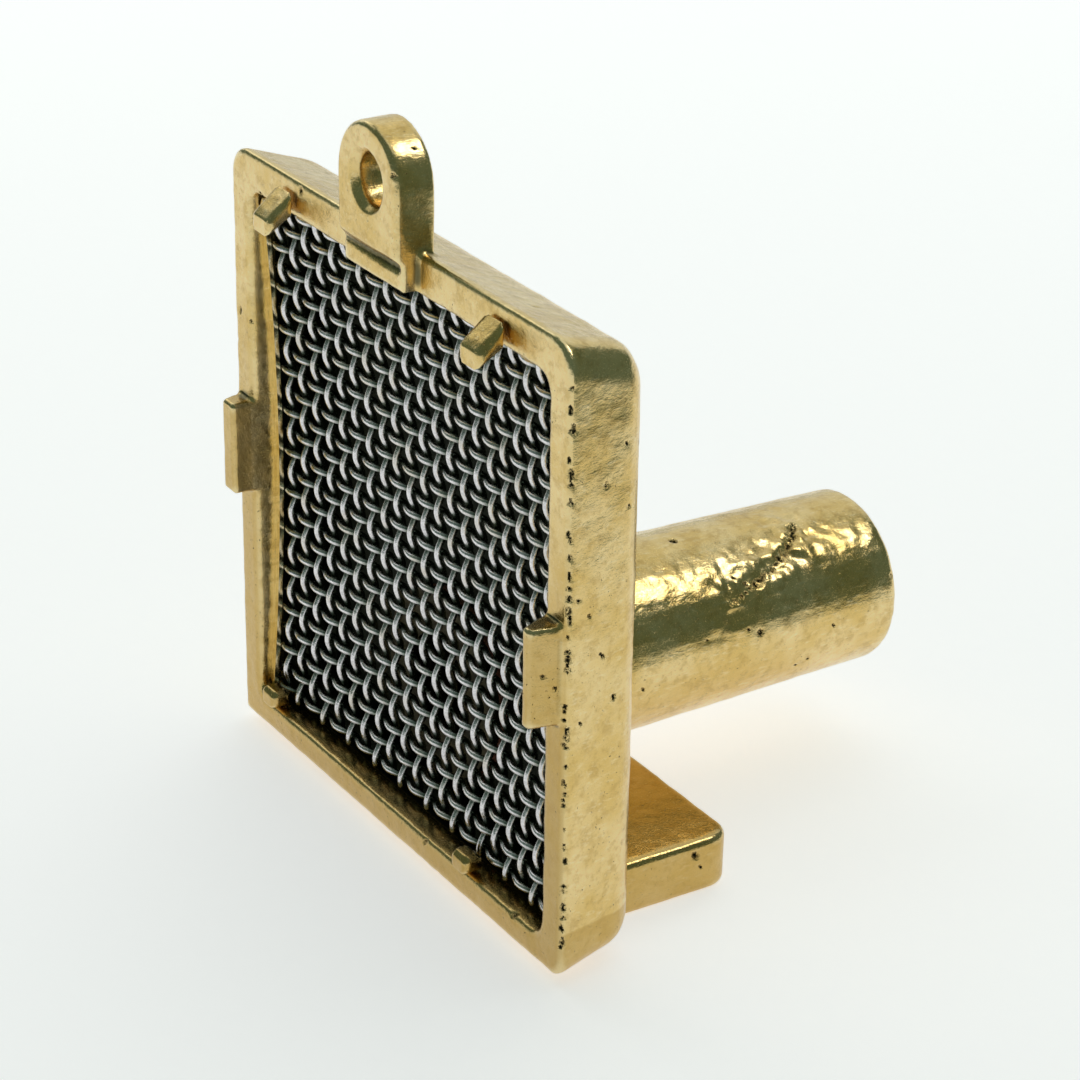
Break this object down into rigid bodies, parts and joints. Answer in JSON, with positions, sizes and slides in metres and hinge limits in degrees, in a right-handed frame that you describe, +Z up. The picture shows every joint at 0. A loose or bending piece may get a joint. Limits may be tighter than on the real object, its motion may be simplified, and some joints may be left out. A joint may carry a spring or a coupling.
{
  "type": "foot valve",
  "caption": "Brass foot valve: a square strainer box with a dished wire screen, a hanging lug, a foot and a round hose spigot that holds a spring-loaded non-return poppet.",
  "frame": {"origin": "centre of the part's bounding box in plan, on the surface that its foot stands on", "axes": "+Z up from the base to the lug; +Y along the hose spigot, away from the screen; +X across the screen, to the right for someone who faces the screen"},
  "size_m": [0.078, 0.0728, 0.0935],
  "materials": {
    "cast_brass": "raw sand casting, bright, with pits",
    "turned_brass": "turned",
    "screen_wire": "drawn stainless wire",
    "spring_steel": "drawn stainless wire",
    "seal_rubber": "matt",
    "gasket_fibre": "matt fibre"
  },
  "bodies": {
    "housing": {"body_casting": "cast_brass", "screen_cloth": "screen_wire", "screen_edge_left": "turned_brass", "screen_edge_right": "turned_brass", "hook_top_left": "cast_brass", "hook_top_right": "cast_brass", "hook_bottom_left": "cast_brass", "hook_bottom_right": "cast_brass", "seat_bush": "turned_brass", "seat_gasket": "gasket_fibre", "guide_spider": "turned_brass", "valve_spring": "spring_steel"},
    "valve_poppet": {"poppet": "turned_brass", "seal_washer": "seal_rubber", "seal_plate": "turned_brass", "stem_nut": "turned_brass"}
  },
  "joints": [
    {"name": "poppet_lift", "type": "slide", "parent": "housing", "child": "valve_poppet", "axis": [0, 1, 0], "range_m": [0, 0.0045], "stiffness_N_per_m": 90, "springref_m": -0.002, "deforming": ["valve_spring"]}
  ]
}
